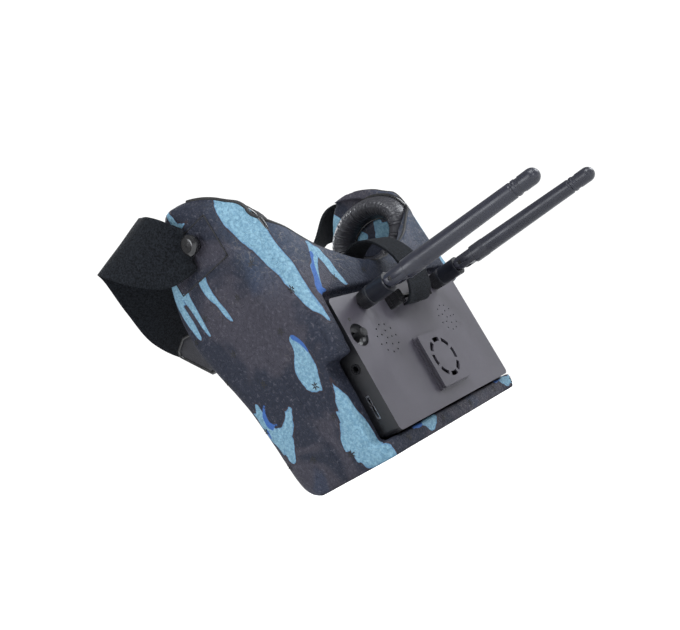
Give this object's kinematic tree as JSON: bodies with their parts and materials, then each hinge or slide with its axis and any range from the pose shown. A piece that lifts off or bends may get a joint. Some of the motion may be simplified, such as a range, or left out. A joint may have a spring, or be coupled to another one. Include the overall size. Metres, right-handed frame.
{
  "type": "fpv goggles",
  "caption": "Box-style video goggles: camouflaged foam visor with mirror optics, ear cushions and head strap, and a display module with fan, control stick and folding antennas.",
  "frame": {"origin": "centre of the visor's flat front end, on the face that it stands on", "axes": "+Z towards the back of the wearer's head, -Y out of the display module's face (up when worn), +X to the right when looking at the module's face"},
  "size_m": [0.2432, 0.2712, 0.1924],
  "materials": {
    "camo_foam": "matte",
    "black_leather": "satin",
    "black_webbing": "matte",
    "black_rubber": "matte",
    "black_plastic": "matte",
    "gloss_black": "gloss",
    "module_shell": "satin",
    "antenna_black": "satin",
    "mirror": "polished",
    "clear_lens": "gloss",
    "backing_board": "matte",
    "screen_glass": "gloss",
    "circuit_board": "satin",
    "cell_foil": "satin",
    "bright_steel": "polished",
    "gold_brass": "polished",
    "light_pipe": "gloss"
  },
  "bodies": {
    "visor": {"foam_shell": "camo_foam", "rim_trim": "black_rubber", "brow_pad": "black_leather", "cheek_pad_left": "black_leather", "cheek_pad_right": "black_leather", "side_flap_left": "black_leather", "side_flap_right": "black_leather", "ear_cushion_left": "black_leather", "ear_cushion_right": "black_leather", "cushion_base_left": "gloss_black", "cushion_base_right": "gloss_black", "mirror_glass": "mirror", "mirror_backing": "backing_board", "fresnel_lens": "clear_lens", "lens_frame": "black_plastic", "wing_insert_left": "black_plastic", "wing_insert_right": "black_plastic", "strap_button_left": "gloss_black", "strap_button_right": "gloss_black", "head_strap": "black_webbing", "top_strap": "black_webbing", "strap_bar": "gloss_black", "front_cover": "module_shell", "rear_frame": "black_plastic", "lcd_panel": "screen_glass", "main_board": "circuit_board", "battery_cell": "cell_foil", "receiver_can_left": "bright_steel", "receiver_can_right": "bright_steel", "speaker_left": "black_plastic", "speaker_right": "black_plastic", "fan_cover": "module_shell", "fan_frame": "black_plastic", "stick_base": "black_plastic", "audio_jack": "gloss_black", "card_slot": "bright_steel", "indicator_light": "light_pipe", "module_screws": "bright_steel", "antenna_socket_left": "gold_brass", "antenna_socket_right": "gold_brass"},
    "rotor": {"fan_rotor": "black_plastic"},
    "stick_cradle": {"stick_gimbal": "bright_steel"},
    "stick_post": {"stick_stem": "bright_steel"},
    "stick_button": {"stick_cap": "black_rubber"},
    "left_nut": {"antenna_nut_left": "antenna_black"},
    "left_elbow": {"antenna_barrel_left": "antenna_black", "antenna_pin_left": "bright_steel"},
    "left_whip": {"antenna_whip_left": "antenna_black", "antenna_cap_left": "antenna_black"},
    "right_nut": {"antenna_nut_right": "antenna_black"},
    "right_elbow": {"antenna_barrel_right": "antenna_black", "antenna_pin_right": "bright_steel"},
    "right_whip": {"antenna_whip_right": "antenna_black", "antenna_cap_right": "antenna_black"}
  },
  "joints": [
    {"name": "fan_spin", "type": "hinge", "parent": "visor", "child": "rotor", "pos_m": [0.0018, -0.038, 0.0365], "axis": [0, -1, 0], "continuous": true},
    {"name": "stick_tilt_up", "type": "hinge", "parent": "visor", "child": "stick_cradle", "pos_m": [-0.06, -0.0326, 0.0665], "axis": [1, 0, 0], "range_deg": [-8, 8], "stiffness_Nm_per_rad": 0.02},
    {"name": "stick_tilt_side", "type": "hinge", "parent": "stick_cradle", "child": "stick_post", "pos_m": [-0.06, -0.0326, 0.0665], "axis": [0, 0, 1], "range_deg": [-8, 8], "stiffness_Nm_per_rad": 0.02},
    {"name": "stick_press", "type": "slide", "parent": "stick_post", "child": "stick_button", "axis": [0, 1, 0], "range_m": [0, 0.0004], "stiffness_N_per_m": 1500},
    {"name": "left_nut_turn", "type": "hinge", "parent": "visor", "child": "left_nut", "pos_m": [-0.04235, -0.039, 0.0844], "axis": [0, -1, 0], "continuous": true},
    {"name": "left_antenna_swivel", "type": "hinge", "parent": "visor", "child": "left_elbow", "pos_m": [-0.04235, -0.039, 0.0844], "axis": [0, -1, 0], "continuous": true},
    {"name": "left_antenna_fold", "type": "hinge", "parent": "left_elbow", "child": "left_whip", "pos_m": [-0.04235, -0.0665, 0.0844], "axis": [-1, 0, 0], "range_deg": [0, 90]},
    {"name": "right_nut_turn", "type": "hinge", "parent": "visor", "child": "right_nut", "pos_m": [0.04235, -0.039, 0.0844], "axis": [0, -1, 0], "continuous": true},
    {"name": "right_antenna_swivel", "type": "hinge", "parent": "visor", "child": "right_elbow", "pos_m": [0.04235, -0.039, 0.0844], "axis": [0, -1, 0], "continuous": true},
    {"name": "right_antenna_fold", "type": "hinge", "parent": "right_elbow", "child": "right_whip", "pos_m": [0.04235, -0.0665, 0.0844], "axis": [-1, 0, 0], "range_deg": [0, 90]}
  ]
}
